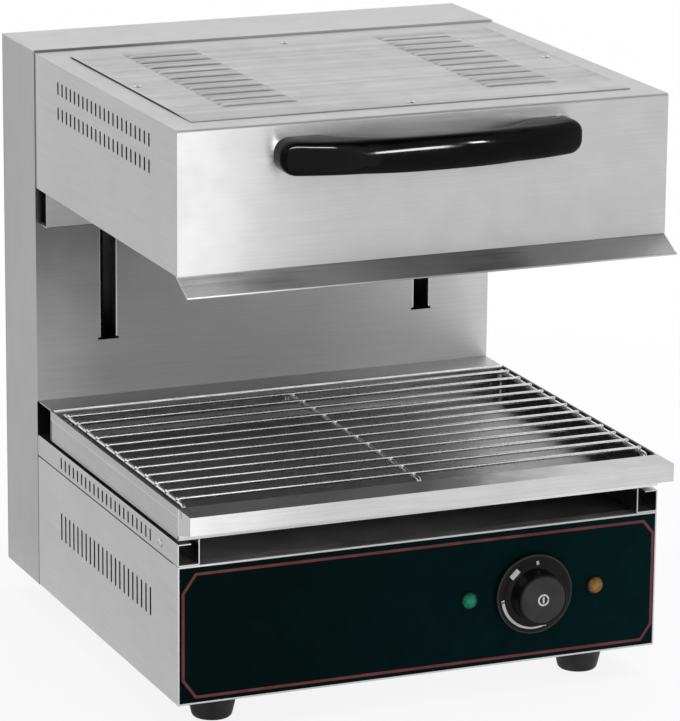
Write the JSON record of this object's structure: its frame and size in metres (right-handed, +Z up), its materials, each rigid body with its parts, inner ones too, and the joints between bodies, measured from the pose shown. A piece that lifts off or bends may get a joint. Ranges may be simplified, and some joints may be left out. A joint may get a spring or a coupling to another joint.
{
  "type": "cheese melter",
  "caption": "Lift-type cheese melter: heated hood on a counterbalanced carriage over a pull-out tray with wire grid, on a base with one heat knob and pilot lamps.",
  "frame": {"origin": "on the floor, under the middle of the whole appliance", "axes": "+Z up, the control panel and handle face -Y, +X to the right seen from the front"},
  "size_m": [0.4536, 0.4958, 0.5314],
  "materials": {
    "stainless": "brushed sheet, fine horizontal grain",
    "inner_steel": "plain mill finish",
    "bright_steel": "polished",
    "black_paint": "matt black stove enamel",
    "panel_film": "printed film, satin, with a plain border line",
    "rubber": "matt",
    "black_plastic": "glossy moulded",
    "knob_plastic": "satin moulded",
    "white_plastic": "moulded",
    "lamp_green": "translucent lens",
    "lamp_amber": "translucent lens",
    "brass": "machined",
    "iron": "plain",
    "heater": "dark oxide sheath",
    "wool": "ceramic fibre blanket"
  },
  "bodies": {
    "base": {"floor_plate": "stainless", "base_side_left": "stainless", "base_side_right": "stainless", "base_deck": "stainless", "front_panel": "stainless", "control_fascia": "panel_film", "side_rail_left": "stainless", "side_rail_right": "stainless", "rear_ledge": "stainless", "rubber_feet": "rubber", "foot_screws": "bright_steel", "case_screws": "bright_steel", "energy_regulator": "white_plastic", "lamp_green": "lamp_green", "lamp_amber": "lamp_amber", "lamp_holders": "white_plastic", "terminal_block": "white_plastic", "cable_gland": "black_plastic", "bonding_stud": "brass", "column_shell": "stainless", "column_front": "stainless", "rear_cover": "stainless", "rear_screws": "bright_steel", "guide_rods": "bright_steel", "head_beam": "inner_steel", "lower_beam": "inner_steel", "rod_screws": "bright_steel", "rod_bumpers": "rubber", "pulley_brackets": "inner_steel", "pulley_axles": "bright_steel", "rope_wraps": "bright_steel", "weight_guides": "inner_steel"},
    "hood": {"hood_shell": "stainless", "hood_top_plate": "stainless", "top_screws": "bright_steel", "drip_lip": "stainless", "hood_rear_shield": "stainless", "cross_member": "black_paint", "lift_arm_left": "inner_steel", "lift_arm_right": "inner_steel", "carriage_plate": "inner_steel", "bushings": "brass", "carriage_bolts": "bright_steel", "rope_anchors": "brass", "reflector": "bright_steel", "insulation_pad": "wool", "heating_elements": "heater", "element_brackets": "inner_steel", "handle": "black_plastic", "handle_screws": "bright_steel", "hood_ropes": "bright_steel"},
    "weight": {"counterweight": "iron", "weight_anchors": "brass", "weight_ropes": "bright_steel"},
    "left_pulley": {"pulley_left": "white_plastic"},
    "right_pulley": {"pulley_right": "white_plastic"},
    "control_knob": {"knob": "knob_plastic", "regulator_shaft": "bright_steel"},
    "tray": {"drip_tray": "stainless"},
    "grid": {"wire_grid": "bright_steel"}
  },
  "joints": [
    {"name": "hood_lift", "type": "slide", "parent": "base", "child": "hood", "axis": [0, 0, 1], "range_m": [-0.145, 0], "deforming": ["hood_ropes"]},
    {"name": "weight_slide", "type": "slide", "parent": "base", "child": "weight", "axis": [0, 0, 1], "range_m": [0, 0.145], "deforming": ["weight_ropes"]},
    {"name": "left_pulley_spin", "type": "hinge", "parent": "base", "child": "left_pulley", "pos_m": [-0.06, 0.2081, 0.491], "axis": [1, 0, 0], "range_deg": [0, 462]},
    {"name": "right_pulley_spin", "type": "hinge", "parent": "base", "child": "right_pulley", "pos_m": [0.06, 0.2081, 0.491], "axis": [1, 0, 0], "range_deg": [0, 462]},
    {"name": "knob_turn", "type": "hinge", "parent": "base", "child": "control_knob", "pos_m": [0.105, -0.2059, 0.093], "axis": [0, 1, 0], "range_deg": [-255, 45]},
    {"name": "tray_slide", "type": "slide", "parent": "base", "child": "tray", "axis": [0, -1, 0], "range_m": [0, 0.25]},
    {"name": "grid_lift", "type": "slide", "parent": "tray", "child": "grid", "axis": [0, 0, 1], "range_m": [0, 0.03]}
  ],
  "couplings": [
    {"joint": "weight_slide", "follows": "hood_lift", "ratio": -1},
    {"joint": "left_pulley_spin", "follows": "hood_lift", "rad_per_m": -55.556},
    {"joint": "right_pulley_spin", "follows": "hood_lift", "rad_per_m": -55.556}
  ]
}
